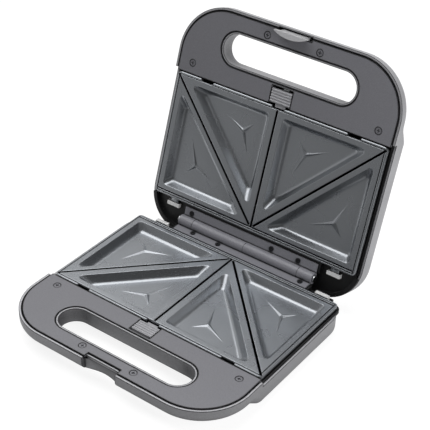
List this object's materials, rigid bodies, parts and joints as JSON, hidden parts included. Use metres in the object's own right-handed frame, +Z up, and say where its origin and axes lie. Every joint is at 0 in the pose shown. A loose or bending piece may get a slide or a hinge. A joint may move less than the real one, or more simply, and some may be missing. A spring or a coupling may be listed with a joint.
{
  "type": "sandwich toaster",
  "caption": "Countertop sandwich toaster, shown open: hinged clamshell halves with handle slots, lift-out pocketed plates, front latch clip and release buttons.",
  "frame": {"origin": "centre of the open toaster's outline on the surface it stands on", "axes": "+Z up, +Y from the handles at the front to the hinge at the rear, +X to the right seen from the front"},
  "size_m": [0.2398, 0.2896, 0.234],
  "materials": {
    "case": "satin",
    "cover": "satin",
    "liner": "matte",
    "nonstick": "satin",
    "heater": "satin",
    "reflector": "bright",
    "bracket": "bright",
    "hinge": "satin",
    "screw": "satin",
    "pin": "satin",
    "spring": "satin",
    "button": "satin",
    "latch": "satin",
    "red_lens": "gloss",
    "green_lens": "gloss",
    "lamp": "gloss",
    "thermostat": "matte",
    "fuse": "matte",
    "lead": "matte",
    "rubber": "matte"
  },
  "bodies": {
    "base": {"base_shell": "case", "base_handle_cover": "cover", "base_cover_screws": "screw", "base_liner": "liner", "base_liner_screws": "screw", "base_plate": "nonstick", "base_heater": "heater", "base_reflector": "reflector", "base_plate_brackets": "bracket", "base_hinge_leaf": "hinge", "base_hinge_screws": "screw", "hinge_pin": "pin", "base_release_spring": "spring", "thermostat": "thermostat", "thermal_fuse": "fuse", "base_supply_lead": "lead", "base_heater_lead": "lead", "cord_gland": "rubber", "rubber_feet": "rubber"},
    "base_button": {"base_release_button": "button"},
    "lid": {"lid_shell": "case", "lid_handle_cover": "cover", "lid_cover_screws": "screw", "lid_liner": "liner", "lid_liner_screws": "screw", "lid_plate": "nonstick", "lid_heater": "heater", "lid_reflector": "reflector", "lid_plate_brackets": "bracket", "lid_hinge_leaf": "hinge", "lid_hinge_screws": "screw", "latch_pin": "pin", "latch_spring": "spring", "lid_release_spring": "spring", "power_lens": "red_lens", "ready_lens": "green_lens", "indicator_lamps": "lamp", "lid_heater_lead": "lead"},
    "lid_button": {"lid_release_button": "button"},
    "latch": {"latch_clip": "latch"}
  },
  "joints": [
    {"name": "lid_hinge", "type": "hinge", "parent": "base", "child": "lid", "pos_m": [0, 0.06835, 0.0305], "axis": [-1, 0, 0], "range_deg": [-107.25, 0]},
    {"name": "latch_pivot", "type": "hinge", "parent": "lid", "child": "latch", "pos_m": [0, 0.13815, 0.22662], "axis": [-1, 0, 0], "range_deg": [0, 10], "stiffness_Nm_per_rad": 0.6, "springref_deg": -11.46, "deforming": ["latch_spring"]},
    {"name": "base_button_slide", "type": "slide", "parent": "base", "child": "base_button", "axis": [0, -1, 0], "range_m": [0, 0.0024], "stiffness_N_per_m": 800, "springref_m": -0.002, "deforming": ["base_release_spring"]},
    {"name": "lid_button_slide", "type": "slide", "parent": "lid", "child": "lid_button", "axis": [0, 0.2965, 0.955], "range_m": [0, 0.0024], "stiffness_N_per_m": 800, "springref_m": -0.002, "deforming": ["lid_release_spring"]}
  ]
}
